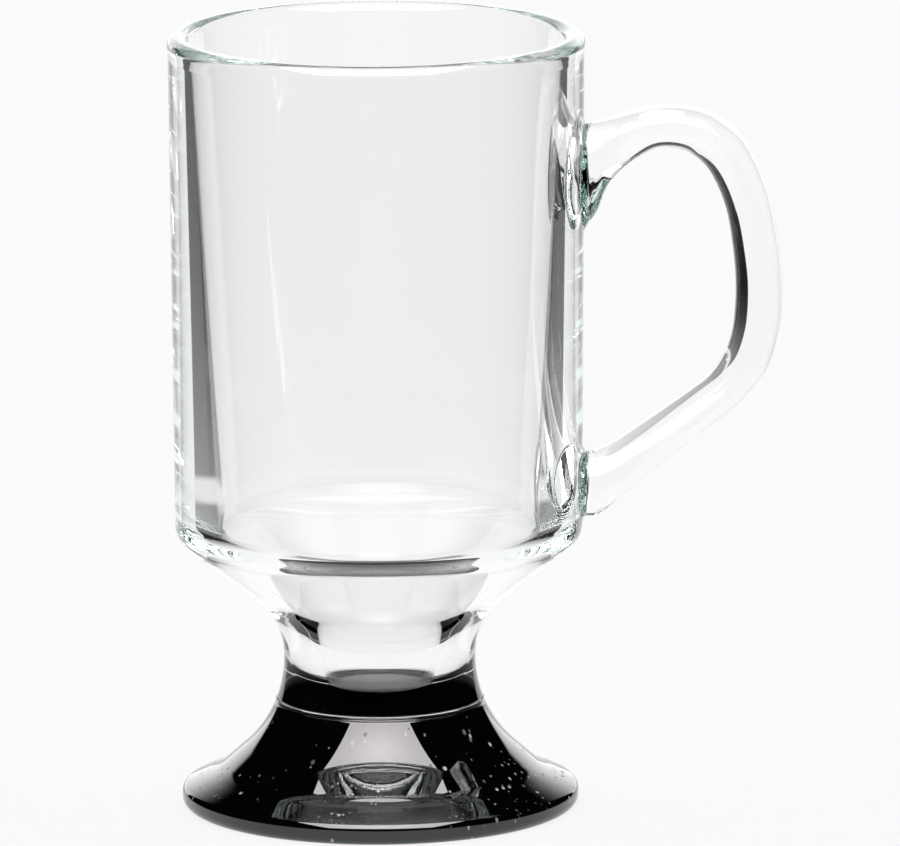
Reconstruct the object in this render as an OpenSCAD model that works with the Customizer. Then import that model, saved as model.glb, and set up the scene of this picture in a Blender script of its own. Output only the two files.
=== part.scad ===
// Irish coffee mug: a clear pressed glass bowl on a waisted stem, a clear
// glass handle fused to its side, and a flared black glass foot.
// Millimetres, +Z up. The mug stands on Z = 0, the handle points to +X, and
// the origin is below the middle of the whole outline, handle included.

/* [Bowl outside] */
// Height of the mug from the table to the top of the rim
mug_h = 143; // [138:1:150]
// Outside diameter of the fire-polished rim
rim_d = 76; // [75.5:0.1:78]
// Outside diameter of the wall just below the rim
wall_top_d = 75.6; // [75:0.1:77.5]
// Outside diameter of the wall just above the shoulder
wall_base_d = 74.4; // [73:0.1:75.5]
// Height at which the wall would meet the cone of the shoulder
shoulder_z = 50.3; // [49:0.1:52]
// Rounding of the shoulder
shoulder_r = 4.6; // [3:0.1:5.5]

/* [Stem] */
// Outside diameter of the stem at its waist
stem_d = 35; // [34.5:0.1:38]
// Height at which the cone of the shoulder would meet the waist
stem_top_z = 34.8; // [34:0.1:36]
// Rounding from the shoulder's cone into the waist
stem_top_r = 14; // [12:0.1:14.3]
// Height at which the waist would meet the flare of the foot
stem_base_z = 17.6; // [17:0.1:17.8]
// Rounding from the waist into the flare of the foot
stem_base_r = 22.7; // [18:0.1:23]

/* [Cavity] */
// Thickness of the wall just below the rim
wall_top_t = 3.7; // [3:0.1:4.2]
// Thickness of the wall just above the shoulder
wall_base_t = 7.6; // [6:0.1:8]
// Rise of the funnel's upper corner above the shoulder's
funnel_rise = 1.7; // [1:0.1:4]
// Rounding of the corner at the top of the funnel
funnel_top_r = 4; // [1.5:0.1:6]
// Height at which the funnel would meet the well in the stem
well_top_z = 35; // [33.5:0.1:36]
// Rounding from the funnel into the well
well_top_r = 16; // [10:0.1:24]
// Diameter of the well at its top
well_top_d = 22.8; // [20.4:0.1:23.4]
// Diameter of the well at its floor
well_floor_d = 20.2; // [16:0.1:20.4]
// Thickness of the glass below the well
well_floor_t = 1.8; // [1.5:0.1:4]
// Rounding round the floor of the well
well_floor_r = 2.5; // [1:0.1:3.2]

/* [Foot] */
// Height of the seam between the clear stem and the black foot
seam_z = 20; // [18.5:0.1:20.5]
// Outside diameter of the foot
foot_d = 72.6; // [70:0.1:76]
// Height at which the flare would meet the flatter toe
flare_base_z = 6.6; // [6:0.1:7.2]
// Diameter at which the flare would meet the flatter toe
flare_base_d = 59.8; // [58:0.1:62]
// Rounding from the flare into the toe
flare_base_r = 11.6; // [6:0.1:14]
// Thickness of the foot's edge
edge_t = 3.7; // [3.4:0.1:4.2]
// Rounding of the upper side of the edge
edge_top_r = 1.5; // [0.8:0.1:1.6]
// Rounding of the lower side of the edge
edge_base_r = 1.9; // [1:0.1:2.1]
// Radius of the bead that the seam leaves
seam_bead_r = 0.5; // [0.3:0.05:0.7]
// How far the seam's bead stands proud of the stem
seam_proud = 0.2; // [0.1:0.05:0.3]
// Diameter of the hollow under the foot
hollow_d = 65; // [60:0.5:68]
// Depth of the hollow under the foot at its middle
hollow_depth = 3; // [1.5:0.1:3.5]
// Height of the step at the rim of the hollow
hollow_step = 0.8; // [0.4:0.1:1.2]

/* [Handle] */
// Reach of the handle, from the bowl's wall to its outermost point
handle_reach = 36; // [33:0.5:40]
// Rise of the handle's lower root above the corner of the shoulder
handle_rise = 3.6; // [3:0.1:6]
// Height that the handle spans
handle_h = 75.5; // [70:0.5:80]
// Width of the handle, across the direction that it points to
handle_w = 11; // [9:0.1:13]
// Width of the handle where it is fused to the bowl
root_w = 13; // [11:0.1:15]
// How much thicker the handle is along its outer edge, and thinner along its inner edge
swell_share = 0.25; // [0:0.05:0.3]

/* [Hidden] */
$fn = 144;
// Overrun of every cut
over = 1;
// Largest turn between two points of a rounded corner, in degrees
corner_turn = 6;
// Sides of the handle's cross-section
bar_sides = 24;
// Steps between two stations of the handle
bar_steps = 3;
// Rings that close each end of the handle against the wall
cap_rings = 3;
// Squareness of the handle's cross-section, where 2 is an ellipse
bar_power = 2.3;
// Colours of the two glasses
clear_glass = [0.86, 0.93, 0.92, 0.45];
black_glass = [0.03, 0.03, 0.035];

// Shares of the handle's reach and of its height for the outer edge and then
// the inner edge of the bar, from the upper root round to the lower root
bar_edge_shares = [
    [0.010, 0.958, 0.010, 0.708],
    [0.055, 0.962, 0.064, 0.745],
    [0.105, 0.968, 0.112, 0.804],
    [0.180, 0.978, 0.195, 0.851],
    [0.290, 0.992, 0.322, 0.890],
    [0.428, 1.000, 0.428, 0.897],
    [0.582, 0.991, 0.529, 0.886],
    [0.716, 0.959, 0.605, 0.857],
    [0.820, 0.906, 0.652, 0.822],
    [0.908, 0.816, 0.697, 0.772],
    [0.958, 0.726, 0.730, 0.710],
    [0.995, 0.595, 0.759, 0.590],
    [0.990, 0.491, 0.754, 0.489],
    [0.961, 0.417, 0.731, 0.428],
    [0.908, 0.348, 0.695, 0.387],
    [0.828, 0.299, 0.648, 0.354],
    [0.739, 0.257, 0.585, 0.325],
    [0.507, 0.171, 0.370, 0.252],
    [0.254, 0.074, 0.140, 0.179],
    [0.075, 0.003, 0.050, 0.159],
    [0.010, 0.000, 0.010, 0.155]
];
// Shares of the way from one end of the handle to the other over which a
// root narrows from its width at the bowl to the width of the bar
root_run_share = 0.14;

wall_top_r = wall_top_d / 2;
wall_base_r = wall_base_d / 2;
stem_r = stem_d / 2;
foot_r = foot_d / 2;
cavity_top_r = wall_top_r - wall_top_t;
// The rim is as thick as the wall and what it stands proud of it
rim_t = rim_d / 2 - cavity_top_r;
rim_base_z = mug_h - rim_t;
funnel_top_z = shoulder_z + funnel_rise;
well_floor_z = seam_z + well_floor_t;
handle_low_z = shoulder_z + handle_rise;
cavity_base_r = wall_base_r - wall_base_t;

// Rings of the handle's bar
bar_count = (len(bar_edge_shares) - 1) * bar_steps;
// Outermost point of the handle from the bowl's axis
handle_far = max([for (k = [0 : bar_count]) bar_edges(k)[0]]);
// Place of the bowl's axis, so that the origin is under the whole outline
axis_x = (rim_d / 2 - handle_far) / 2;

// Outlines are lists of corners [x, z, rounding]
function unit(v) = v / norm(v);
function flat(p) = [p[0], p[1]];
function is_round(corners, i) = i > 0 && i < len(corners) - 1 && corners[i][2] > 0;
// Unit vectors from corner i to its neighbours
function sides_of(corners, i) = [
    for (n = [i - 1, i + 1])
        unit(flat(corners[n]) - flat(corners[i]))
];
function half_angle(corners, i) =
    let (s = sides_of(corners, i))
    acos(s[0] * s[1]) / 2;
// Length of side that the rounding of corner i takes up
function taken(corners, i) = is_round(corners, i) ? corners[i][2] / tan(half_angle(corners, i)) : 0;
// Share of its rounding that corner i has room for on both of its sides
function room_share(corners, i) = min([
    for (n = [i - 1, i + 1])
        let (side = norm(flat(corners[n]) - flat(corners[i])))
        min(1, side / (taken(corners, i) + taken(corners, n)))
]);
function corner_arc(corners, i) =
    let (
        s = sides_of(corners, i),
        half = half_angle(corners, i),
        r = corners[i][2] * room_share(corners, i),
        corner = flat(corners[i]),
        middle = corner + unit(s[0] + s[1]) * r / sin(half),
        start = corner + s[0] * r / tan(half) - middle,
        end = corner + s[1] * r / tan(half) - middle,
        turn = atan2(start[0] * end[1] - start[1] * end[0], start * end),
        steps = max(2, ceil(abs(turn) / corner_turn))
    )
    [for (k = [0 : steps])
        let (t = turn * k / steps)
        middle + [start[0] * cos(t) - start[1] * sin(t), start[0] * sin(t) + start[1] * cos(t)]];
// Points of an outline with its corners rounded
function rounded(corners) = [
    for (i = [0 : len(corners) - 1])
        for (p = is_round(corners, i) ? corner_arc(corners, i) : [flat(corners[i])])
            p
];

// Outside of the glass, from the rim down to the table
function outside_corners() = [
    [wall_top_r, rim_base_z, 0],
    [wall_base_r, shoulder_z, shoulder_r],
    [stem_r, stem_top_z, stem_top_r],
    [stem_r, stem_base_z, stem_base_r],
    [flare_base_d / 2, flare_base_z, flare_base_r],
    [foot_r, edge_t, edge_top_r],
    [foot_r, 0, edge_base_r],
    [0, 0, 0]
];
// Inside of the bowl, from the rim down to the floor of the well
function cavity_corners() = [
    [cavity_top_r, rim_base_z, 0],
    [cavity_base_r, funnel_top_z, funnel_top_r],
    [well_top_d / 2, well_top_z, well_top_r],
    [well_floor_d / 2, well_floor_z, well_floor_r],
    [0, well_floor_z, 0]
];

// Radius of the outside of the wall at height z
function wall_r(z) =
    wall_base_r + (wall_top_r - wall_base_r) * (z - shoulder_z) / (rim_base_z - shoulder_z);
// Radius of the outside of the stem's lower rounding at height z
function flare_r_at(z) =
    let (
        flare = [flare_base_d / 2 - stem_r, flare_base_z - stem_base_z],
        half = acos(flare[1] / norm(flare)) / 2,
        tangent_z = stem_base_z + stem_base_r / tan(half)
    )
    z > tangent_z ? stem_r : stem_r + stem_base_r - sqrt(pow(stem_base_r, 2) - pow(tangent_z - z, 2));

module outside_solid() {
    rotate_extrude()
        polygon(concat([[0, rim_base_z]], rounded(outside_corners())));
}

// Ring of the rim, rounded all the way over its top
module rim_ring() {
    rotate_extrude()
        translate([rim_d / 2 - rim_t / 2, mug_h - rim_t / 2])
            circle(d = rim_t);
}

// Wall from the rim's middle down to the place where the straight wall begins
module rim_wall() {
    rotate_extrude()
        polygon([
            [cavity_top_r, mug_h - rim_t / 2],
            [rim_d / 2, mug_h - rim_t / 2],
            [wall_top_r, rim_base_z],
            [cavity_top_r, rim_base_z]
        ]);
}

module cavity() {
    rotate_extrude()
        polygon(concat([[0, rim_base_z + over], [cavity_top_r, rim_base_z + over]], rounded(cavity_corners())));
}

// Clear bowl and stem, pressed as one, down to the seam
module bowl() {
    color(clear_glass)
        translate([axis_x, 0, 0]) {
            difference() {
                outside_solid();
                cavity();
                translate([0, 0, -over])
                    cylinder(r = foot_r + over, h = seam_z + over);
            }
            rim_wall();
            rim_ring();
        }
}

// Black foot, from the seam down to the table
module foot() {
    color(black_glass)
        translate([axis_x, 0, 0])
            difference() {
                union() {
                    intersection() {
                        outside_solid();
                        cylinder(r = foot_r + over, h = seam_z);
                    }
                    seam_bead();
                }
                foot_hollow();
            }
}

// Bead that the fused seam leaves at the top of the foot
module seam_bead() {
    rotate_extrude()
        translate([flare_r_at(seam_z) - seam_bead_r + seam_proud, seam_z - seam_bead_r])
            circle(r = seam_bead_r);
}

// Shallow hollow that leaves the foot standing on a ring
module foot_hollow() {
    rotate_extrude()
        polygon([
            [0, -over],
            [hollow_d / 2, -over],
            [hollow_d / 2, 0],
            [hollow_d / 2 - hollow_step, hollow_step],
            [0, hollow_depth]
        ]);
}

// Handle as a bar swept through its stations
function bar_station(i) =
    let (s = bar_edge_shares[max(0, min(len(bar_edge_shares) - 1, i))])
    [
        wall_top_r + handle_reach * s[0],
        handle_low_z + handle_h * s[1],
        wall_top_r + handle_reach * s[2],
        handle_low_z + handle_h * s[3]
    ];
// Smooth curve through the stations, at station i plus share t
function bar_at(i, t) =
    let (a = bar_station(i - 1), b = bar_station(i), c = bar_station(i + 1), d = bar_station(i + 2))
    (b * 2 + (c - a) * t + (a * 2 - b * 5 + c * 4 - d) * pow(t, 2)
        + (b * 3 - a - c * 3 + d) * pow(t, 3)) / 2;

function bar_edges(k) = bar_at(floor(k / bar_steps), (k % bar_steps) / bar_steps);
// Nearness of ring k to a root, from 0 along the bar to 1 at its ends
function root_at(k) = max(0, 1 - min(k / bar_count, 1 - k / bar_count) / root_run_share);
// Width of the bar at ring k, wider at both roots
function bar_w(k) = handle_w + (root_w - handle_w) * pow(root_at(k), 2);
function power_of(v) = sign(v) * pow(abs(v), 2 / bar_power);
// Ring k of the bar: points between its outer and inner edges
function bar_ring(k) =
    let (
        e = bar_edges(k),
        middle = [e[0] + e[2], 0, e[1] + e[3]] / 2,
        across = [e[0] - e[2], 0, e[1] - e[3]] / 2,
        side = [0, bar_w(k) / 2, 0],
        swell = swell_share * (1 - root_at(k))
    )
    [for (j = [0 : bar_sides - 1])
        let (a = 360 * j / bar_sides, over_middle = power_of(cos(a)))
        middle + across * over_middle + side * power_of(sin(a)) * (1 + swell * over_middle)];
// Point p moved along X until it lies on the bowl's wall
function on_wall(p) = [sqrt(pow(wall_r(p[2]), 2) - pow(p[1], 2)), p[1], p[2]];
function mean(points) = points * [for (p = points) 1] / len(points);
// Rings that close an end of the bar on the wall, from its edge inwards
function end_ring(k, inward) =
    let (
        ring = bar_ring(k),
        middle = [for (c = [0 : 2]) mean([for (p = ring) p[c]])]
    )
    [for (p = ring) on_wall(p + (middle - p) * inward)];
function end_middle(k) =
    let (ring = bar_ring(k))
    on_wall([for (c = [0 : 2]) mean([for (p = ring) p[c]])]);

function joined(rings) = [for (ring = rings) for (p = ring) p];
function band_faces(rings) = [
    for (k = [0 : rings - 2])
        for (j = [0 : bar_sides - 1])
            let (
                n = (j + 1) % bar_sides,
                a = k * bar_sides + j,
                b = k * bar_sides + n,
                c = a + bar_sides,
                d = b + bar_sides
            )
            for (f = [[a, b, d], [a, d, c]])
                f
];

// Clear bar from its upper root to its lower root
module handle() {
    start_rings = [for (m = [cap_rings - 1 : -1 : 0]) end_ring(0, m / cap_rings)];
    bar_rings = [for (k = [1 : bar_count - 1]) bar_ring(k)];
    end_rings = [for (m = [0 : cap_rings - 1]) end_ring(bar_count, m / cap_rings)];
    rings = concat(start_rings, bar_rings, end_rings);
    points = concat(joined(rings), [end_middle(0), end_middle(bar_count)]);
    first = len(rings) * bar_sides;
    last_ring = (len(rings) - 1) * bar_sides;
    caps = [
        for (j = [0 : bar_sides - 1])
            let (n = (j + 1) % bar_sides)
            for (f = [[first, n, j], [first + 1, last_ring + j, last_ring + n]])
                f
    ];
    color(clear_glass)
        translate([axis_x, 0, 0])
            polyhedron(points = points, faces = concat(band_faces(len(rings)), caps), convexity = 4);
}

bowl();
foot();
handle();
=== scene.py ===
# %% [markdown]
# A clear glass mug on a black glass foot.
# The mug is three lots of hot glass joined into one: a pressed bowl with a waisted stem,
# a bar for a handle, and a foot of black glass. Clear glass has no colour of its own to
# paint. What the eye reads is what each curve bends into view, so the outlines have to be
# true on the inside as well as the outside, and the studio round the mug has to be right.
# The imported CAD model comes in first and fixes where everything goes.

import math

import bmesh
import bpy
from mathutils import Matrix, Vector
from mathutils.kdtree import KDTree


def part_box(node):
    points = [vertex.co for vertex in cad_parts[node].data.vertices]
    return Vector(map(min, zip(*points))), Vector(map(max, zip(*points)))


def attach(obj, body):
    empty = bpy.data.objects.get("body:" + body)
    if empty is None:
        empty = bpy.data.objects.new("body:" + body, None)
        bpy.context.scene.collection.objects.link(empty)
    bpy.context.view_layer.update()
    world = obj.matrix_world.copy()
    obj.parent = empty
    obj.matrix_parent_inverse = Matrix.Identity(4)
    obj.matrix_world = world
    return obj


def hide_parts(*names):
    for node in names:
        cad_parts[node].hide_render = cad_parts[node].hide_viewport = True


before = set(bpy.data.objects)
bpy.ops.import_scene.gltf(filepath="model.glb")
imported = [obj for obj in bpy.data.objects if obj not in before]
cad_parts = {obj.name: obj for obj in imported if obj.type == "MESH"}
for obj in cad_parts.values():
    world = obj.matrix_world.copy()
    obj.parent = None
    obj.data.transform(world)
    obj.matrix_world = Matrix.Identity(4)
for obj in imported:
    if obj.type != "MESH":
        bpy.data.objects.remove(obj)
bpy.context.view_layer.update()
scene = bpy.context.scene

# %% [markdown]
# Sizes that the frame knows are read from it: the height, the rim, the seam between the
# two glasses and the place of the bowl's axis. So the visible mug can't drift away from
# the CAD model. The inside of the bowl and the roundings are sizes of the same
# construction, written here in millimetres times MM.

# %% Sizes from the frame
MM = 0.001
bowl_low, bowl_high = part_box("bowl")
foot_low, foot_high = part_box("foot")
axis_x = (foot_low.x + foot_high.x) / 2
mug_h = bowl_high.z
rim_r = bowl_high.x - axis_x
seam_z = bowl_low.z
print("Axis at", round(axis_x / MM, 2), "mm, seam at", round(seam_z / MM, 2), "mm")

# %% Sizes of the bowl and stem
# A name ends in _r for a radius, in _z for a height above the table, in _t for a
# thickness and in _round for the rounding of a corner.
wall_top_r = 37.8 * MM
wall_base_r = 37.2 * MM
wall_top_t = 3.7 * MM
wall_base_t = 7.6 * MM
shoulder_z = 50.3 * MM
shoulder_round = 4.6 * MM
stem_r = 17.5 * MM
stem_top_z = 34.8 * MM
stem_top_round = 14 * MM
stem_base_z = 17.6 * MM
stem_base_round = 22.7 * MM
flare_base_z = 6.6 * MM
flare_base_r = 29.9 * MM
funnel_top_z = 52.0 * MM
funnel_top_round = 4.0 * MM
well_top_z = 35.0 * MM
well_top_r = 11.4 * MM
well_top_round = 16 * MM
well_floor_z = 21.8 * MM
well_floor_r = 10.1 * MM
well_floor_round = 2.5 * MM

cavity_top_r = wall_top_r - wall_top_t
cavity_base_r = wall_base_r - wall_base_t
rim_t = rim_r - cavity_top_r
rim_round = rim_t / 2
rim_base_z = mug_h - rim_t
print("The wall is", round(wall_top_t / MM, 1), "mm thick at its top")

# %% [markdown]
# Every turned shape here is drawn as a lathe operator would draw it: a chain of straight
# lines whose corners have a rounding. The roundings could be worked out in Python as rows
# of points. But the chain is easier to read, so it is a mesh of edges, and each corner
# keeps its rounding in an attribute for Geometry Nodes to read.

# %% A chain of corners
def corner_chain(name, corners):
    """Mesh of edges through corners (radius, height, rounding), drawn upside down in XY."""
    mesh = bpy.data.meshes.new(name)
    places = [(radius, -height, 0) for radius, height, rounding in corners]
    mesh.from_pydata(places, [(i, i + 1) for i in range(len(corners) - 1)], [])
    rounding = mesh.attributes.new("rounding", "FLOAT", "POINT")
    rounding.data.foreach_set("value", [corner[2] for corner in corners])
    chain = bpy.data.objects.new(name, mesh)
    scene.collection.objects.link(chain)
    return chain


# %% [markdown]
# Node trees are easier to read when one line adds one node. add_node adds any node and
# fills its inputs, and calc adds a Math node and gives its result back, so a sum in the
# tree reads like a sum in Python.

# %% Helpers for node trees
def add_node(tree, kind, settings=None, **inputs):
    """A node of that kind, with its settings, and a value or a link for each named input."""
    node = tree.nodes.new(kind)
    for key, value in (settings or {}).items():
        setattr(node, key, value)
    for key, value in inputs.items():
        socket = node.inputs[key.replace("_", " ")]
        if isinstance(value, bpy.types.NodeSocket):
            tree.links.new(value, socket)
        else:
            socket.default_value = value
    return node


def calc(tree, operation, *values):
    """Result of a Math node on numbers or sockets."""
    node = tree.nodes.new("ShaderNodeMath")
    node.operation = operation
    for socket, value in zip(node.inputs, values):
        if isinstance(value, bpy.types.NodeSocket):
            tree.links.new(value, socket)
        else:
            socket.default_value = value
    return node.outputs[0]


def squares_added(tree, x, y):
    """The square of x plus the square of y."""
    return calc(tree, "ADD", calc(tree, "POWER", x, 2), calc(tree, "POWER", y, 2))


def grey(tree, level):
    """Colour with its three parts at the same level."""
    node = add_node(tree, "ShaderNodeCombineColor", Red=level, Green=level, Blue=level)
    return node.outputs["Color"]


# %% [markdown]
# The skins are made with Geometry Nodes. new_tree makes an empty tree with its named
# inputs, finish_tree gives it the end that every tree here has, and made_by runs it on an
# object and keeps what comes out as a plain mesh.

# %% Helpers for skins
def new_tree(name, inputs):
    """Geometry tree with these inputs, and its input and output nodes."""
    tree = bpy.data.node_groups.new(name, "GeometryNodeTree")
    tree.interface.new_socket("Geometry", in_out="INPUT", socket_type="NodeSocketGeometry")
    tree.interface.new_socket("Geometry", in_out="OUTPUT", socket_type="NodeSocketGeometry")
    for label, kind in inputs.items():
        tree.interface.new_socket(label, in_out="INPUT", socket_type="NodeSocket" + kind)
    return tree, tree.nodes.new("NodeGroupInput").outputs, tree.nodes.new("NodeGroupOutput")


def finish_tree(tree, end, geometry, merge, material):
    """Ends a tree: doubles merged, smooth faces, a real mesh and its material."""
    merged = add_node(tree, "GeometryNodeMergeByDistance", Geometry=geometry, Distance=merge)
    smooth = add_node(tree, "GeometryNodeSetShadeSmooth", Geometry=merged.outputs[0])
    real = add_node(tree, "GeometryNodeRealizeInstances", Geometry=smooth.outputs[0])
    finish = add_node(tree, "GeometryNodeSetMaterial", Geometry=real.outputs[0], Material=material)
    tree.links.new(finish.outputs[0], end.inputs[0])


def made_by(tree, source, name, values):
    """Plain mesh object that the tree makes from source, which is used up."""
    modifier = source.modifiers.new(tree.name, "NODES")
    modifier.node_group = tree
    for item in tree.interface.items_tree:
        if item.in_out == "INPUT" and item.name in values:
            modifier[item.identifier] = values[item.name]
    evaluated = source.evaluated_get(bpy.context.evaluated_depsgraph_get())
    mesh = bpy.data.meshes.new_from_object(evaluated)
    mesh.name = name
    made = bpy.data.objects.new(name, mesh)
    scene.collection.objects.link(made)
    bpy.data.objects.remove(source)
    print(name, "has", len(mesh.vertices), "vertices")
    return made


# %% [markdown]
# The lathe itself. Fillet Curve rounds each corner by its own rounding, Subdivide Curve
# puts extra points on the long straight stretches, and Curve to Mesh sweeps the outline
# round a circle. The circle has a radius of its own, so the outline is first moved in by
# that radius, and the points that land on the axis are merged into one. The sweep turns
# the outline's Y downwards, which is why a chain is drawn upside down. A Screw modifier
# could turn an outline too, but it knows nothing of a rounding for each corner.

# %% The lathe tree
def lathe_tree():
    """Tree that rounds the corners of a chain and sweeps it round the axis."""
    tree, given, end = new_tree(
        "Lathe",
        {
            "Sides": "Int",
            "Corner steps": "Int",
            "Longest step": "Float",
            "Axis X": "Float",
            "Circle": "Float",
            "Merge": "Float",
            "Material": "Material",
        },
    )
    chain = add_node(tree, "GeometryNodeMeshToCurve", Mesh=given["Geometry"])
    rounding = add_node(
        tree, "GeometryNodeInputNamedAttribute", {"data_type": "FLOAT"}, Name="rounding"
    )
    outline = add_node(
        tree,
        "GeometryNodeFilletCurve",
        {"mode": "POLY"},
        Curve=chain.outputs[0],
        Count=given["Corner steps"],
        Radius=rounding.outputs["Attribute"],
    )
    here = add_node(tree, "GeometryNodeInputPosition")
    index = add_node(tree, "GeometryNodeInputIndex")
    following = add_node(
        tree,
        "GeometryNodeFieldAtIndex",
        {"data_type": "FLOAT_VECTOR"},
        Index=calc(tree, "ADD", index.outputs[0], 1),
        Value=here.outputs[0],
    )
    gap = tree.nodes.new("ShaderNodeVectorMath")
    gap.operation = "DISTANCE"
    tree.links.new(here.outputs[0], gap.inputs[0])
    tree.links.new(following.outputs[0], gap.inputs[1])
    cuts = calc(tree, "FLOOR", calc(tree, "DIVIDE", gap.outputs["Value"], given["Longest step"]))
    stepped = add_node(tree, "GeometryNodeSubdivideCurve", Curve=outline.outputs[0], Cuts=cuts)
    inward = add_node(tree, "ShaderNodeCombineXYZ", X=calc(tree, "MULTIPLY", given["Circle"], -1))
    moved = add_node(
        tree, "GeometryNodeTransform", Geometry=stepped.outputs[0], Translation=inward.outputs[0]
    )
    circle = add_node(
        tree,
        "GeometryNodeCurvePrimitiveCircle",
        {"mode": "RADIUS"},
        Resolution=given["Sides"],
        Radius=given["Circle"],
    )
    swept = add_node(
        tree, "GeometryNodeCurveToMesh", Curve=circle.outputs[0], Profile_Curve=moved.outputs[0]
    )
    to_axis = add_node(tree, "ShaderNodeCombineXYZ", X=given["Axis X"])
    placed = add_node(
        tree, "GeometryNodeTransform", Geometry=swept.outputs[0], Translation=to_axis.outputs[0]
    )
    finish_tree(tree, end, placed.outputs[0], given["Merge"], given["Material"])
    return tree


lathe = lathe_tree()
print("The lathe has", len(lathe.nodes), "nodes")

# %% [markdown]
# Both turned pieces use that one tree, with the same steps along the outline and different
# numbers of sides.

# %% Turned skins
LONGEST_STEP = 2 * MM
LATHE_CIRCLE = 20 * MM
MERGE = 0.001 * MM


def turned(name, corners, sides, corner_steps, material):
    """Closed skin that the lathe makes from these corners."""
    return made_by(
        lathe,
        corner_chain(name + "_outline", corners),
        name,
        {
            "Sides": sides,
            "Corner steps": corner_steps,
            "Longest step": LONGEST_STEP,
            "Axis X": axis_x,
            "Circle": LATHE_CIRCLE,
            "Merge": MERGE,
            "Material": material,
        },
    )


# %% [markdown]
# Finishes come before the pieces, because each tree ends by giving its mesh a material.
# Clear glass is one Principled shader that lets everything through and bends it. A little
# green and blue stay in a long path, as at the rim, where the light runs along the glass.
# A tinted surface would colour thin and thick glass alike, so the tint is in a volume.
# Pressed glass is never quite flat, because the mould chills its skin, so a slow and very
# shallow bump goes over it.

# %% Clear glass
GLASS_IOR = 1.52
GLASS_SURFACE = (1, 1, 1, 1)
GLASS_TINT = (0.88, 0.955, 0.945, 1)
GLASS_TINT_DENSITY = 9
RIPPLE_SCALE = 55
RIPPLE_DETAIL = 1.0
RIPPLE_DEPTH = 0.002 * MM


def new_material(name):
    """Material, its tree, its Principled node and Object coordinates."""
    material = bpy.data.materials.new(name)
    material.use_nodes = True
    tree = material.node_tree
    place = tree.nodes.new("ShaderNodeTexCoord").outputs["Object"]
    return material, tree, tree.nodes["Principled BSDF"], place


def clear_glass_material():
    """Glass that bends light and takes a little colour out of a long path."""
    material, tree, surface, place = new_material("pressed_clear_glass")
    surface.inputs["Base Color"].default_value = GLASS_SURFACE
    surface.inputs["Roughness"].default_value = 0
    surface.inputs["IOR"].default_value = GLASS_IOR
    surface.inputs["Transmission Weight"].default_value = 1
    ripple = add_node(
        tree, "ShaderNodeTexNoise", Vector=place, Scale=RIPPLE_SCALE, Detail=RIPPLE_DETAIL
    )
    raised = add_node(
        tree, "ShaderNodeBump", Height=ripple.outputs["Fac"], Distance=RIPPLE_DEPTH
    )
    tree.links.new(raised.outputs["Normal"], surface.inputs["Normal"])
    inside = add_node(
        tree, "ShaderNodeVolumeAbsorption", Color=GLASS_TINT, Density=GLASS_TINT_DENSITY
    )
    output = tree.nodes["Material Output"]
    tree.links.new(inside.outputs[0], output.inputs["Volume"])
    return material


clear_glass = clear_glass_material()
print("Made", clear_glass.name)

# %% [markdown]
# The foot is black glass. From outside it is a dark mirror, set a little stronger than
# plain glass has it. At the seam it meets clear glass of the same kind, and there nothing
# is reflected at all, so its mirror is switched off on the flat face that the stem stands
# on. Its pressed skin has small wrinkles whose steep sides catch the light in patches of
# tiny glints and short dashes. Dents in the mesh would be far too many, and a bump crumples
# the whole mirror. So the glints are painted highlights: pale, matt dots in cells of a
# Voronoi texture, drawn out upwards, with a colour and a roughness of their own, and a slow
# noise says where the patches are.

# %% Black glass
BLACK_LEVEL = 0.0015
BLACK_IOR = 1.65
BLACK_ROUGHNESS = 0.015
PLAIN_GLOSS = 0.5
SEAM_MARGIN = 0.02 * MM
# The speck settings below draw painted highlights: pale dots that stand for glints.
SPECK_SPACING = 1.2 * MM
SPECK_STRETCH = 1.8
SPECK_SIZE = 0.4
SPECK_SOFT = 0.1
GLINT_LEVEL = 0.6
SPECK_FALL = 2
SPECK_ROUGHNESS = 0.5
PATCH_SCALE = 110
PATCH_DETAIL = 2.0
PATCH_FROM = 0.36
PATCH_TO = 0.58


def painted_glints(tree, place):
    """How far inside a painted glint a place is, from 0 to 1, and how pale that glint is painted.
    """
    patch = add_node(
        tree, "ShaderNodeTexNoise", Vector=place, Scale=PATCH_SCALE, Detail=PATCH_DETAIL
    )
    where = add_node(
        tree,
        "ShaderNodeMapRange",
        {"interpolation_type": "SMOOTHSTEP"},
        Value=patch.outputs["Fac"],
        From_Min=PATCH_FROM,
        From_Max=PATCH_TO,
    )
    crowding = 1 / SPECK_SPACING
    scale = (crowding, crowding, crowding / SPECK_STRETCH)
    stretched = add_node(tree, "ShaderNodeMapping", Vector=place, Scale=scale)
    cells = add_node(tree, "ShaderNodeTexVoronoi", Vector=stretched.outputs["Vector"], Scale=1.0)
    picks = add_node(tree, "ShaderNodeSeparateColor", Color=cells.outputs["Color"]).outputs
    chosen = calc(tree, "SUBTRACT", calc(tree, "ADD", picks["Red"], where.outputs["Result"]), 1)
    from_middle = calc(tree, "MULTIPLY", cells.outputs["Distance"], -1)
    inside = calc(tree, "MULTIPLY_ADD", chosen, SPECK_SIZE, from_middle)
    glint_spot = calc(tree, "MAXIMUM", calc(tree, "DIVIDE", inside, SPECK_SOFT), 0)
    glint_paleness = calc(tree, "POWER", picks["Green"], SPECK_FALL)
    return calc(tree, "MINIMUM", glint_spot, 1), calc(tree, "MULTIPLY", glint_paleness, GLINT_LEVEL)


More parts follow.
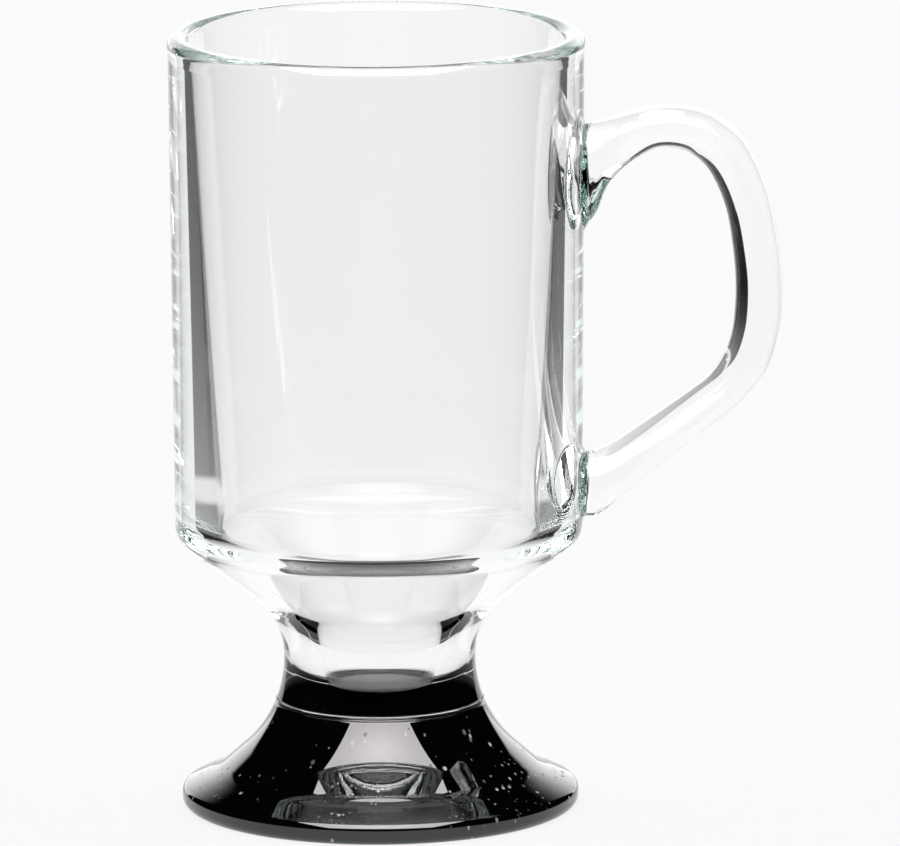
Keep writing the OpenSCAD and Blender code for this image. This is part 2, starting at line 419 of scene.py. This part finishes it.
def black_glass_material():
    """Dark mirror below the seam, with pale dots painted on as glints, and no mirror on the seam.
    """
    material, tree, surface, place = new_material("pressed_black_glass")
    surface.inputs["IOR"].default_value = BLACK_IOR
    height = add_node(tree, "ShaderNodeSeparateXYZ", Vector=place).outputs["Z"]
    below_seam = calc(tree, "LESS_THAN", height, seam_z - SEAM_MARGIN)
    gloss = calc(tree, "MULTIPLY", below_seam, PLAIN_GLOSS)
    tree.links.new(gloss, surface.inputs["Specular IOR Level"])
    # Painted highlight: pale dots in the base colour stand for glints on the pressed skin.
    glint_spot, glint_paleness = painted_glints(tree, place)
    glint_spot = calc(tree, "MULTIPLY", glint_spot, below_seam)
    level = calc(tree, "MULTIPLY_ADD", glint_spot, glint_paleness, BLACK_LEVEL)
    tree.links.new(grey(tree, level), surface.inputs["Base Color"])
    roughness = calc(tree, "MULTIPLY_ADD", glint_spot, SPECK_ROUGHNESS, BLACK_ROUGHNESS)
    tree.links.new(roughness, surface.inputs["Roughness"])
    return material


black_glass = black_glass_material()
print("Made", black_glass.name)

# %% [markdown]
# The bowl and stem are one outline from the seam up the outside, over the rounded rim and
# down the inside to the floor of the well. An outside with a thickness from Solidify would
# be quicker, but this glass is nowhere equally thick, and its inside is what bends the
# light. The waist runs into the foot in one curve, and the seam cuts that curve. The piece
# of it above the seam is the same circle, so its corner lies where the tangents at its two
# ends meet. The glass reaches a hair below the top of the foot, so that a ray in the stem
# meets black glass first and no air between the two.

# %% The waist's curve
flare_way = Vector((flare_base_r - stem_r, flare_base_z - stem_base_z)).normalized()
waist_turn = math.acos(-flare_way.y)
waist_top_z = stem_base_z + stem_base_round * math.tan(waist_turn / 2)


def turn_at(z):
    """How far the waist's curve has turned from straight down at height z."""
    return math.asin((waist_top_z - z) / stem_base_round)


def waist_r_at(z):
    """Radius of the waist's curve at height z."""
    return stem_r + stem_base_round * (1 - math.cos(turn_at(z)))


print("The stem at the seam is", round(2 * waist_r_at(seam_z) / MM, 1), "mm across")

# %% Bowl and stem
BOWL_SIDES = 224
BOWL_CORNER_STEPS = 14
SEAM_SINK = 0.05 * MM
RIM_ROUND_SHARE = 0.97

glass_low_z = seam_z - SEAM_SINK
waist_corner_z = waist_top_z - stem_base_round * math.tan(turn_at(glass_low_z) / 2)
bowl_corners = [
    (0, glass_low_z, 0),
    (waist_r_at(glass_low_z), glass_low_z, 0),
    (stem_r, waist_corner_z, stem_base_round),
    (stem_r, stem_top_z, stem_top_round),
    (wall_base_r, shoulder_z, shoulder_round),
    (wall_top_r, rim_base_z, rim_round),
    (rim_r, mug_h - rim_round, 0),
    (rim_r, mug_h, rim_round * RIM_ROUND_SHARE),
    (cavity_top_r, mug_h, rim_round * RIM_ROUND_SHARE),
    (cavity_base_r, funnel_top_z, funnel_top_round),
    (well_top_r, well_top_z, well_top_round),
    (well_floor_r, well_floor_z, well_floor_round),
    (0, well_floor_z, 0),
]
bowl = turned("bowl_glass", bowl_corners, BOWL_SIDES, BOWL_CORNER_STEPS, clear_glass)

# %% [markdown]
# The handle is a bar between two rails: the outer edge and the inner edge that it shows
# from the side. The rails are written as shares of its reach and of its height, from the
# upper root round to the lower one, and a smooth curve runs through them. Each row gives a
# point of the outer rail and then one of the inner rail. Each ring of the bar is a squarish
# oval between the two rails, and it is thicker along its outer edge than along its inner
# one. That swell draws the black line along the inner side of the handle, because the
# slanted flanks there show the dark room at the sides. A curve with a bevel would be the
# usual way to a handle, but its section stays the same all along.

# %% Rails of the handle
handle_reach = 36 * MM
handle_low_z = 53.9 * MM
handle_h = 75.5 * MM
handle_half_w = 5.5 * MM
root_half_w = 6.5 * MM
root_run_share = 0.14
swell_share = 0.25
BAR_STEPS = 4
rail_shares = [
    (0.010, 0.958, 0.010, 0.708),
    (0.055, 0.962, 0.064, 0.745),
    (0.105, 0.968, 0.112, 0.804),
    (0.180, 0.978, 0.195, 0.851),
    (0.290, 0.992, 0.322, 0.890),
    (0.428, 1.000, 0.428, 0.897),
    (0.582, 0.991, 0.529, 0.886),
    (0.716, 0.959, 0.605, 0.857),
    (0.820, 0.906, 0.652, 0.822),
    (0.908, 0.816, 0.697, 0.772),
    (0.958, 0.726, 0.730, 0.710),
    (0.995, 0.595, 0.759, 0.590),
    (0.990, 0.491, 0.754, 0.489),
    (0.961, 0.417, 0.731, 0.428),
    (0.908, 0.348, 0.695, 0.387),
    (0.828, 0.299, 0.648, 0.354),
    (0.739, 0.257, 0.585, 0.325),
    (0.507, 0.171, 0.370, 0.252),
    (0.254, 0.074, 0.140, 0.179),
    (0.075, 0.003, 0.050, 0.159),
    (0.010, 0.000, 0.010, 0.155),
]
last_station = len(rail_shares) - 1
print("The rails run through", len(rail_shares), "stations")


# %% Points on the rails
def smooth_between(a, b, c, d, t):
    """Value at t between b and c, on the smooth curve through a, b, c and d."""
    slope = c - a
    bend = 2 * a - 5 * b + 4 * c - d
    twist = 3 * b - a - 3 * c + d
    return (2 * b + slope * t + bend * t**2 + twist * t**3) / 2


def rails_at(along):
    """Outer and inner rail, each as a point (x from the axis, z), at station number along."""
    station = min(int(along), last_station - 1)
    t = along - station
    picks = [rail_shares[max(0, min(last_station, station + step))] for step in (-1, 0, 1, 2)]
    shares = [smooth_between(a, b, c, d, t) for a, b, c, d in zip(*picks)]
    outer_out, outer_up, inner_out, inner_up = shares
    outer = Vector((wall_top_r + handle_reach * outer_out, handle_low_z + handle_h * outer_up))
    inner = Vector((wall_top_r + handle_reach * inner_out, handle_low_z + handle_h * inner_up))
    return outer, inner


# %% [markdown]
# Where the bar meets the wall, the two were hot and flowed together, so a small hollow
# curve runs all round each root. A Bevel modifier after the union would stumble over the
# small faces there. Instead, the rings at a root lie on the wall, each a little closer to
# it and a little wider, as a quarter circle gives them, and the last one is sunk in the
# wall to be cut off by the union. Everything about a ring is kept in attributes of one
# point: its middle, its half breadth across the rails, its half width, its swell, how much
# it lies on the wall and how far off the wall it is.

# %% Rings of the handle
root_fillet = 1.1 * MM
root_sink = 1.4 * MM
FILLET_STEPS = 6
QUARTER_TURN = math.radians(90)
GAP_STEPS = 200
ON_WALL_UNTIL = 2.0


def bar_ring(along, on_wall=0.0, gap=0.0, grow=0.0):
    """One ring of the bar at station number along."""
    outer, inner = rails_at(along)
    share = along / last_station
    root = max(0, 1 - min(share, 1 - share) / root_run_share)
    half_width = handle_half_w + (root_half_w - handle_half_w) * root**2
    half = (outer - inner) / 2
    return {
        "middle": (outer + inner) / 2,
        "across": half * (1 + grow / half.length),
        "half_width": half_width + grow,
        "swell": swell_share * (1 - root),
        "on_wall": on_wall,
        "gap": gap,
    }


def station_at_gap(gap, start, end):
    """Station number, between start and end, where the bar is that far from the wall."""
    for i in range(GAP_STEPS + 1):
        along = start + (end - start) * i / GAP_STEPS
        outer, inner = rails_at(along)
        if (outer.x + inner.x) / 2 - wall_top_r >= gap:
            return along
    return end


def root_rings(start, end):
    """Rings from inside the wall out to where the bar leaves the root's curve."""
    closed = bar_ring(start, 1.0, -root_sink)
    closed.update(across=Vector((0, 0)), half_width=0.0)
    rings = [closed, bar_ring(start, 1.0, -root_sink, root_fillet)]
    for i in range(FILLET_STEPS + 1):
        turn = QUARTER_TURN * i / FILLET_STEPS
        gap = root_fillet * (1 - math.cos(turn))
        grow = root_fillet * (1 - math.sin(turn))
        rings.append(bar_ring(station_at_gap(gap, start, end), 1.0, gap, grow))
    return rings


def handle_rings():
    """All rings of the handle, from the upper root to the lower one."""
    upper = root_rings(0, 1)
    lower = root_rings(last_station, last_station - 1)
    free_from = station_at_gap(root_fillet, 0, 1)
    free_to = station_at_gap(root_fillet, last_station, last_station - 1)
    middle = []
    for k in range(last_station * BAR_STEPS + 1):
        along = k / BAR_STEPS
        if free_from < along < free_to:
            from_root = min(along, last_station - along)
            on_wall = max(0, 1 - from_root / ON_WALL_UNTIL) ** 2
            outer, inner = rails_at(along)
            middle.append(bar_ring(along, on_wall, (outer.x + inner.x) / 2 - wall_top_r))
    return upper + middle + lower[::-1]


rings = handle_rings()
print("The handle has", len(rings), "rings")


# %% [markdown]
# The tree for the bar turns that row of points into a skin. A grid has one row of vertices
# for each ring and one column for each side. Every vertex looks up its ring's attributes by
# its own index, and a cosine and a sine, squared up a little, place it on the oval. The
# swell then widens the half towards the outer rail and narrows the other half. On the wall,
# a vertex gets its X from the wall's circle. Half a step is added to the index, so that
# rounding down never ends in the ring before.

# %% The bar tree
HALF_STEP = 0.5


def bar_tree():
    """Tree that lays a skin through the rings of the bar."""
    tree, given, end = new_tree(
        "Bar between rails",
        {
            "Sides": "Int",
            "Squareness": "Float",
            "Axis X": "Float",
            "Wall base": "Float",
            "Wall slope": "Float",
            "Merge": "Float",
            "Material": "Material",
        },
    )
    count = add_node(tree, "GeometryNodeAttributeDomainSize", Geometry=given["Geometry"])
    columns = calc(tree, "ADD", given["Sides"], 1)
    grid = add_node(
        tree, "GeometryNodeMeshGrid", Vertices_X=count.outputs["Point Count"], Vertices_Y=columns
    )
    index = add_node(tree, "GeometryNodeInputIndex").outputs[0]
    ring = calc(tree, "DIVIDE", calc(tree, "ADD", index, HALF_STEP), columns)
    ring = calc(tree, "FLOOR", ring)
    side = calc(tree, "SUBTRACT", index, calc(tree, "MULTIPLY", ring, columns))
    angle = calc(tree, "DIVIDE", calc(tree, "MULTIPLY", side, 2 * math.pi), given["Sides"])

    def looked_up(name, kind="FLOAT"):
        """A ring's attribute, for each vertex of that ring."""
        source = add_node(tree, "GeometryNodeInputNamedAttribute", {"data_type": kind}, Name=name)
        sample = add_node(
            tree,
            "GeometryNodeSampleIndex",
            {"data_type": kind},
            Geometry=given["Geometry"],
            Value=source.outputs["Attribute"],
            Index=ring,
        )
        return sample.outputs[0]

    def squared(wave):
        """A sine or cosine that stays longer near its ends."""
        power = calc(tree, "DIVIDE", 2, given["Squareness"])
        size = calc(tree, "POWER", calc(tree, "ABSOLUTE", wave), power)
        return calc(tree, "MULTIPLY", calc(tree, "SIGN", wave), size)

    def parts_of(name):
        """X, Y and Z of a ring's attribute."""
        vector = looked_up(name, "FLOAT_VECTOR")
        return add_node(tree, "ShaderNodeSeparateXYZ", Vector=vector).outputs

    middle = parts_of("middle")
    across = parts_of("across")
    over = squared(calc(tree, "COSINE", angle))
    aside = squared(calc(tree, "SINE", angle))
    swell = calc(tree, "MULTIPLY_ADD", over, looked_up("swell"), 1)
    x = calc(tree, "MULTIPLY_ADD", across["X"], over, middle["X"])
    y = calc(tree, "MULTIPLY", looked_up("half_width"), calc(tree, "MULTIPLY", aside, swell))
    z = calc(tree, "MULTIPLY_ADD", across["Z"], over, middle["Z"])
    wall_r = calc(tree, "MULTIPLY_ADD", z, given["Wall slope"], given["Wall base"])
    y_square = calc(tree, "POWER", y, 2)
    wall_square = calc(tree, "SUBTRACT", calc(tree, "POWER", wall_r, 2), y_square)
    wall_x = calc(tree, "ADD", calc(tree, "SQRT", wall_square), looked_up("gap"))
    to_wall = calc(tree, "MULTIPLY", calc(tree, "SUBTRACT", wall_x, x), looked_up("on_wall"))
    placed_x = calc(tree, "ADD", calc(tree, "ADD", x, to_wall), given["Axis X"])
    place = add_node(tree, "ShaderNodeCombineXYZ", X=placed_x, Y=y, Z=z)
    skin = add_node(
        tree, "GeometryNodeSetPosition", Geometry=grid.outputs["Mesh"], Position=place.outputs[0]
    )
    finish_tree(tree, end, skin.outputs[0], given["Merge"], given["Material"])
    return tree


# %% The bar
BAR_SIDES = 56
BAR_SQUARENESS = 2.3
wall_slope = (wall_top_r - wall_base_r) / (rim_base_z - shoulder_z)
wall_foot = wall_base_r - wall_slope * shoulder_z


def ring_points(name, rings):
    """Points whose attributes hold the rings."""
    mesh = bpy.data.meshes.new(name)
    mesh.from_pydata([(0, 0, 0)] * len(rings), [], [])
    for key in ("middle", "across"):
        values = [part for ring in rings for part in (ring[key].x, 0, ring[key].y)]
        mesh.attributes.new(key, "FLOAT_VECTOR", "POINT").data.foreach_set("vector", values)
    for key in ("half_width", "swell", "on_wall", "gap"):
        values = [ring[key] for ring in rings]
        mesh.attributes.new(key, "FLOAT", "POINT").data.foreach_set("value", values)
    points = bpy.data.objects.new(name, mesh)
    scene.collection.objects.link(points)
    return points


bar = made_by(
    bar_tree(),
    ring_points("handle_rings", rings),
    "handle_glass",
    {
        "Sides": BAR_SIDES,
        "Squareness": BAR_SQUARENESS,
        "Axis X": axis_x,
        "Wall base": wall_foot,
        "Wall slope": wall_slope,
        "Merge": MERGE,
        "Material": clear_glass,
    },
)


# %% [markdown]
# Two closed meshes that touch would show a wall of air between them, and the real handle
# is fused on. So the bowl and the handle become one skin by a boolean union. Its cuts leave
# thin faces along the joint, and their own normals would flash in a refraction. Each vertex
# therefore takes the normal of the shape that it came from: the wall's, worked out, on the
# wall, and the nearest vertex's elsewhere.

# %% Closed meshes
def turned_outwards(piece):
    """Makes a closed mesh's faces point outwards, and says what volume it holds."""
    edit = bmesh.new()
    edit.from_mesh(piece.data)
    bmesh.ops.recalc_face_normals(edit, faces=edit.faces)
    open_edges = sum(1 for edge in edit.edges if len(edge.link_faces) != 2)
    volume = edit.calc_volume(signed=True)
    edit.to_mesh(piece.data)
    edit.free()
    print(piece.name, "holds", round(volume / MM**3), "cubic mm, open edges:", open_edges)


turned_outwards(bowl)
turned_outwards(bar)


# %% One skin of clear glass
def fused(base, added, name):
    """One skin of two closed meshes."""
    union = base.modifiers.new("fuse", "BOOLEAN")
    union.operation = "UNION"
    union.solver = "EXACT"
    union.object = added
    evaluated = base.evaluated_get(bpy.context.evaluated_depsgraph_get())
    mesh = bpy.data.meshes.new_from_object(evaluated)
    mesh.name = name
    skin = bpy.data.objects.new(name, mesh)
    scene.collection.objects.link(skin)
    return skin


glass = fused(bowl, bar, "clear_glass_body")
print(glass.name, "has", len(glass.data.polygons), "faces")

# %% Normals of the clear glass
ON_WALL_MARGIN = 0.02 * MM


def wall_normal(place):
    """Outward normal of the bowl's straight wall where place lies on it, or None."""
    flat = Vector((place.x - axis_x, place.y, 0))
    off = flat.length - wall_foot - wall_slope * place.z
    straight = shoulder_z + shoulder_round < place.z < rim_base_z - rim_round
    if abs(off) > ON_WALL_MARGIN or not straight:
        return None
    return (flat.normalized() - Vector((0, 0, wall_slope))).normalized()


def true_normals(skin, sources):
    """Sets each vertex's normal from the meshes that the skin was made from."""
    known = [(v.co.copy(), v.normal.copy()) for source in sources for v in source.data.vertices]
    nearest = KDTree(len(known))
    for i, (place, normal) in enumerate(known):
        nearest.insert(place, i)
    nearest.balance()
    normals = []
    for vertex in skin.data.vertices:
        normal = wall_normal(vertex.co) or known[nearest.find(vertex.co)[1]][1]
        normals.append(normal)
    for face in skin.data.polygons:
        face.use_smooth = True
    skin.data.normals_split_custom_set_from_vertices(normals)


true_normals(glass, [bowl, bar])
for source in (bowl, bar):
    bpy.data.objects.remove(source)
print("Normals set on", len(glass.data.vertices), "vertices")

# %% [markdown]
# The foot is a dark mirror, and a mirror shows every facet, so it is turned again on the
# same lathe, finer than the CAD mesh is. The outline starts on the flat seam, goes over the
# bead that the seam leaves, follows the rest of the waist's curve down the flare and round
# the edge, and ends at the middle of the shallow hollow below.

# %% Foot
foot_r = foot_high.x - axis_x
flare_base_round = 11.6 * MM
edge_t = 3.7 * MM
edge_top_round = 1.5 * MM
edge_base_round = 1.9 * MM
bead_r = 0.3 * MM
bead_proud = 0.1 * MM
hollow_r = 32.5 * MM
hollow_step = 0.8 * MM
hollow_depth = 3 * MM
BEAD_ROUND_SHARE = 0.95
FOOT_SIDES = 288
FOOT_CORNER_STEPS = 24

bead_out_r = waist_r_at(seam_z - bead_r) + bead_proud
bead_low_z = seam_z - 2 * bead_r
waist_run = stem_base_round * math.tan(waist_turn / 2)
flare_start = Vector((stem_r, stem_base_z)) + flare_way * waist_run
rest_of_turn = waist_turn - turn_at(bead_low_z)
flare_corner = flare_start - flare_way * stem_base_round * math.tan(rest_of_turn / 2)
foot_corners = [
    (0, seam_z, 0),
    (bead_out_r, seam_z, bead_r * BEAD_ROUND_SHARE),
    (bead_out_r, bead_low_z, 0),
    (waist_r_at(bead_low_z), bead_low_z, 0),
    (flare_corner.x, flare_corner.y, stem_base_round),
    (flare_base_r, flare_base_z, flare_base_round),
    (foot_r, edge_t, edge_top_round),
    (foot_r, 0, edge_base_round),
    (hollow_r, 0, 0),
    (hollow_r - hollow_step, hollow_step, 0),
    (0, hollow_depth, 0),
]
foot = turned("black_glass_foot", foot_corners, FOOT_SIDES, FOOT_CORNER_STEPS, black_glass)
turned_outwards(foot)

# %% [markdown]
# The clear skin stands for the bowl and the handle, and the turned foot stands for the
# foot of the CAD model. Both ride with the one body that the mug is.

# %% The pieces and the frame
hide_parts("bowl", "handle")
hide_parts("foot")
for piece, slot in ((glass, "clear_glass"), (foot, "black_glass")):
    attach(piece, "root")
    print(piece.name, "rides on root with the slot", slot)

# %% [markdown]
# The camera stands well back with a long lens, a little above the mug and turned a third
# of a degree. The mug could be brought into place by a shift of the lens, but every other
# view would keep that shift, so the camera is aimed at the middle of the picture instead.

# %% Camera
CAMERA_DISTANCE = 2480 * MM
CAMERA_ELEVATION = math.radians(11.2)
CAMERA_ROLL = math.radians(-0.3)
CAMERA_LENS = 544
CAMERA_SENSOR = 36
TARGET_ASIDE = 13.07 * MM
TARGET_Z = 70.87 * MM
target = Vector((axis_x + TARGET_ASIDE, 0, TARGET_Z))
camera_data = bpy.data.cameras.new("camera")
camera_data.lens = CAMERA_LENS
camera_data.sensor_width = CAMERA_SENSOR
camera_data.clip_end = 2 * CAMERA_DISTANCE
camera = bpy.data.objects.new("camera", camera_data)
scene.collection.objects.link(camera)
back = Vector((0, -math.cos(CAMERA_ELEVATION), math.sin(CAMERA_ELEVATION)))
camera.location = target + back * CAMERA_DISTANCE
aim = back.to_track_quat("Z", "Y").to_matrix().to_4x4()
camera.rotation_euler = (aim @ Matrix.Rotation(CAMERA_ROLL, 4, "Z")).to_euler()
scene.camera = camera
print("The camera stands", round(CAMERA_DISTANCE / MM), "mm away")

# %% [markdown]
# The studio is the harder half of a picture of glass. Clear glass shows whatever it bends
# into view, and its dark lines are pictures of dark things beside it. So behind the mug
# there is a white sweep, on both sides of that and above it a dark room, and high overhead
# a pale ceiling. Mirrors get the sweep at a level of their own, brighter than white at the
# ground and fading upwards, and that gives the black foot its light edges. The camera sees
# plain white all round, and plain surfaces are lit evenly. Walls and lamps could be built
# for this, but a world that is worked out from the direction alone has no seams and little
# noise. All angles here are in degrees, as seen from the mug.

# %% Three kinds of ray
def looked_at(tree):
    """1 where the camera looks, where a pane of glass looks and where a mirror looks."""
    path = tree.nodes.new("ShaderNodeLightPath").outputs
    camera = path["Is Camera Ray"]
    glass = path["Is Transmission Ray"]
    mirror = calc(tree, "MULTIPLY", path["Is Glossy Ray"], calc(tree, "SUBTRACT", 1, glass))
    return camera, glass, mirror


def falls(tree, value, edge, soft):
    """1 while value is under edge and 0 past it, with a soft step."""
    step = add_node(
        tree,
        "ShaderNodeMapRange",
        {"interpolation_type": "SMOOTHSTEP"},
        Value=value,
        From_Min=edge - soft,
        From_Max=edge + soft,
        To_Min=1.0,
        To_Max=0.0,
    )
    return step.outputs["Result"]


def level_of(tree, camera_level, glass_level, mirror_level, plain_level):
    """Each kind of ray gets its own level."""
    camera, glass, mirror = looked_at(tree)
    named = calc(tree, "ADD", camera, calc(tree, "ADD", glass, mirror))
    others = calc(tree, "SUBTRACT", 1, named)
    level = calc(tree, "MULTIPLY", camera, camera_level)
    level = calc(tree, "MULTIPLY_ADD", glass, glass_level, level)
    level = calc(tree, "MULTIPLY_ADD", mirror, mirror_level, level)
    return calc(tree, "MULTIPLY_ADD", others, plain_level, level)


# %% World
WHITE = 1
FILL_LEVEL = 0.8
SWEEP_HALF_ANGLE = 37.5
SWEEP_TOP = 33
SWEEP_SOFT = 0.7
CEILING_FROM = 48
CEILING_SOFT = 8
MIRROR_LEVEL = 2.1
MIRROR_HALF_ANGLE = 30
MIRROR_SOFT = 2
MIRROR_TOP = 22
MIRROR_FADE = 11
DEGREES = 180 / math.pi


def make_world():
    """The studio as it is seen in each direction."""
    world = bpy.data.worlds.new("studio")
    world.use_nodes = True
    tree = world.node_tree
    direction = tree.nodes.new("ShaderNodeTexCoord").outputs["Generated"]
    part = add_node(tree, "ShaderNodeSeparateXYZ", Vector=direction).outputs
    azimuth = calc(tree, "MULTIPLY", calc(tree, "ARCTAN2", part["X"], part["Y"]), DEGREES)
    elevation = calc(tree, "MULTIPLY", calc(tree, "ARCSINE", part["Z"]), DEGREES)
    aside = calc(tree, "ABSOLUTE", azimuth)
    across = falls(tree, aside, SWEEP_HALF_ANGLE, SWEEP_SOFT)
    sweep = calc(tree, "MULTIPLY", across, falls(tree, elevation, SWEEP_TOP, SWEEP_SOFT))
    overhead = calc(tree, "SUBTRACT", 1, falls(tree, elevation, CEILING_FROM, CEILING_SOFT))
    in_glass = calc(tree, "MAXIMUM", sweep, overhead)
    wide = falls(tree, aside, MIRROR_HALF_ANGLE, MIRROR_SOFT)
    low = falls(tree, elevation, MIRROR_TOP, MIRROR_FADE)
    in_mirror = calc(tree, "MULTIPLY", calc(tree, "MULTIPLY", wide, low), MIRROR_LEVEL)
    level = level_of(tree, WHITE, in_glass, in_mirror, FILL_LEVEL)
    tree.links.new(grey(tree, level), tree.nodes["Background"].inputs["Color"])
    return world


scene.world = make_world()
print("Made the studio with", len(scene.world.node_tree.nodes), "nodes")

# %% [markdown]
# The ground is a white sheet that keeps a little of the mug's shadow. What the glass and
# the mirror of the foot show of it is a glow: white under the sweep, a painted pool of light
# near the mug on all sides that falls off to dark further out, and, well behind the mug,
# one narrow painted strip of light. In the wall's side streaks that strip is the bright
# break above the dark block. One sheet whose glow is worked out does all this without
# edges that lie on each other.

# %% Floor
FLOOR_HALF = 3000 * MM
FLOOR_GLOW_SHARE = 0.86
FLOOR_COLOUR = (0.9, 0.9, 0.9, 1)
FLOOR_NEAR = 75 * MM
FLOOR_FADE = 110 * MM
STRIP_OUTER_R = 222 * MM
STRIP_INNER_R = 204 * MM
STRIP_SOFT = 4 * MM
STRIP_HALF_ANGLE = math.radians(75)
STRIP_ANGLE_SOFT = math.radians(5)
PAINTED_STRIP_LEVEL = 0.85


def flat_sheet(name, half_width, front, back, material):
    """Stage sheet that reaches this far to both sides, to the front and to the back."""
    corners = [
        (-half_width, -front, 0),
        (half_width, -front, 0),
        (half_width, back, 0),
        (-half_width, back, 0),
    ]
    mesh = bpy.data.meshes.new(name)
    mesh.from_pydata(corners, [], [(0, 1, 2, 3)])
    mesh.materials.append(material)
    sheet = bpy.data.objects.new(name, mesh)
    scene.collection.objects.link(sheet)
    return sheet


def stage_material(name):
    """Empty material, its tree, and X, Y and Z of a place on its sheet."""
    material = bpy.data.materials.new(name)
    material.use_nodes = True
    tree = material.node_tree
    tree.nodes.clear()
    place = tree.nodes.new("ShaderNodeTexCoord").outputs["Object"]
    return material, tree, add_node(tree, "ShaderNodeSeparateXYZ", Vector=place).outputs


def floor_painted_glow(tree, part):
    """How bright glass and mirrors see the ground, with a painted pool and strip of light."""
    x = calc(tree, "SUBTRACT", part["X"], axis_x)
    aside = calc(tree, "ABSOLUTE", calc(tree, "ARCTAN2", x, part["Y"]))
    behind = falls(tree, aside, math.radians(SWEEP_HALF_ANGLE), math.radians(SWEEP_SOFT))
    off = calc(tree, "SQRT", squares_added(tree, x, part["Y"]))
    past = calc(tree, "MAXIMUM", calc(tree, "SUBTRACT", off, FLOOR_NEAR), 0)
    near = calc(tree, "MULTIPLY", calc(tree, "DIVIDE", past, FLOOR_FADE), -1)
    near = calc(tree, "EXPONENT", near)
    within = falls(tree, off, STRIP_OUTER_R, STRIP_SOFT)
    beyond = calc(tree, "SUBTRACT", 1, falls(tree, off, STRIP_INNER_R, STRIP_SOFT))
    at_back = falls(tree, aside, STRIP_HALF_ANGLE, STRIP_ANGLE_SOFT)
    strip = calc(tree, "MULTIPLY", calc(tree, "MULTIPLY", within, beyond), at_back)
    strip = calc(tree, "MULTIPLY", strip, PAINTED_STRIP_LEVEL)
    return calc(tree, "MAXIMUM", behind, calc(tree, "MAXIMUM", near, strip))


def floor_material():
    """Matt white for plain rays, glowing for the camera, painted light for glass and mirrors."""
    material, tree, part = stage_material("white_floor")
    # Glass and mirrors see painted light here: a pool of light near the mug, a strip behind.
    white = floor_painted_glow(tree, part)
    matt = add_node(tree, "ShaderNodeBsdfDiffuse", Color=FLOOR_COLOUR)
    camera, glass, mirror = looked_at(tree)
    through = calc(tree, "ADD", glass, mirror)
    level = calc(tree, "MULTIPLY_ADD", through, white, camera)
    glow = add_node(tree, "ShaderNodeEmission", Strength=level)
    share = calc(tree, "MULTIPLY_ADD", camera, FLOOR_GLOW_SHARE, through)
    mix = tree.nodes.new("ShaderNodeMixShader")
    tree.links.new(share, mix.inputs[0])
    tree.links.new(matt.outputs[0], mix.inputs[1])
    tree.links.new(glow.outputs[0], mix.inputs[2])
    output = tree.nodes.new("ShaderNodeOutputMaterial")
    tree.links.new(mix.outputs[0], output.inputs["Surface"])
    return material


flat_sheet("floor", FLOOR_HALF, FLOOR_HALF, FLOOR_HALF, floor_material())
print("The floor reaches", FLOOR_HALF, "metres to each side")

# %% [markdown]
# One large soft box hangs above and in front of the mug, tilted towards it. Mirrors and
# clear glass show it, so it puts the tall highlight on the front of the foot, and it adds
# no light to plain surfaces. It could be an area lamp, but only a sheet with a material can
# be told what each ray sees. Rays that have been inside the glass see it much weaker, as a
# soft patch on the ceiling, which is the pale glow on the floor of the bowl. A ray that has
# just passed one wall, which makes two crossings, still sees it as it is.

# %% Soft box
BOX_DISTANCE = 700 * MM
BOX_TILT = math.radians(32)
BOX_HALF_WIDTH = 413 * MM
BOX_FRONT = 380 * MM
BOX_BACK = 505 * MM
BOX_STRENGTH = 11
BOX_EDGE_SHARE = 0.7
BOX_COLOUR = (1.0, 0.97, 0.96, 1)
ONE_WALL = 2
SAME_COUNT = 0.5
GLOW_LEVEL = 4.0
GLOW_R = 260 * MM


def box_material():
    """Light that is brightest in the middle of its sheet, and weaker for rays out of glass."""
    material, tree, part = stage_material("soft_light")
    off_square = squares_added(tree, part["X"], part["Y"])
    bell = calc(tree, "EXPONENT", calc(tree, "MULTIPLY", off_square, -1 / GLOW_R**2))
    direct = calc(tree, "MULTIPLY_ADD", bell, 1 - BOX_EDGE_SHARE, BOX_EDGE_SHARE)
    direct = calc(tree, "MULTIPLY", direct, BOX_STRENGTH)
    inner = calc(tree, "MULTIPLY_ADD", bell, GLOW_LEVEL - 1, 1)
    path = tree.nodes.new("ShaderNodeLightPath").outputs
    crossings = path["Transmission Depth"]
    crossed = calc(tree, "MINIMUM", crossings, 1)
    one_wall = calc(tree, "COMPARE", crossings, ONE_WALL, SAME_COUNT)
    past_wall = calc(tree, "MULTIPLY", one_wall, path["Is Transmission Ray"])
    inside = calc(tree, "SUBTRACT", crossed, past_wall)
    change = calc(tree, "MULTIPLY", inside, calc(tree, "SUBTRACT", inner, direct))
    strength = calc(tree, "ADD", direct, change)
    glow = add_node(tree, "ShaderNodeEmission", Color=BOX_COLOUR, Strength=strength)
    output = tree.nodes.new("ShaderNodeOutputMaterial")
    tree.links.new(glow.outputs[0], output.inputs["Surface"])
    return material


box = flat_sheet("soft_box", BOX_HALF_WIDTH, BOX_FRONT, BOX_BACK, box_material())
tilt_up = Vector((0, -math.sin(BOX_TILT), math.cos(BOX_TILT)))
box.location = Vector((axis_x, 0, 0)) + tilt_up * BOX_DISTANCE
box.rotation_euler = (BOX_TILT, 0, 0)
box.visible_camera = False
box.visible_diffuse = False
box.visible_shadow = False
box.visible_volume_scatter = False
print("The soft box hangs", round(box.location.z / MM), "mm above the floor")

# %% [markdown]
# A ray that runs along inside a thick shoulder of glass is mirrored many times before it
# gets out. With Blender's usual limits it would be given up and turn black there, so the
# limits on bounces go up. The colours are shown as they are, with no film look over them.

# %% Light paths and view
GLASS_BOUNCES = 40
scene.cycles.max_bounces = GLASS_BOUNCES
scene.cycles.glossy_bounces = GLASS_BOUNCES
scene.cycles.transmission_bounces = GLASS_BOUNCES
scene.view_settings.view_transform = "Standard"
print("A ray may bounce", GLASS_BOUNCES, "times")
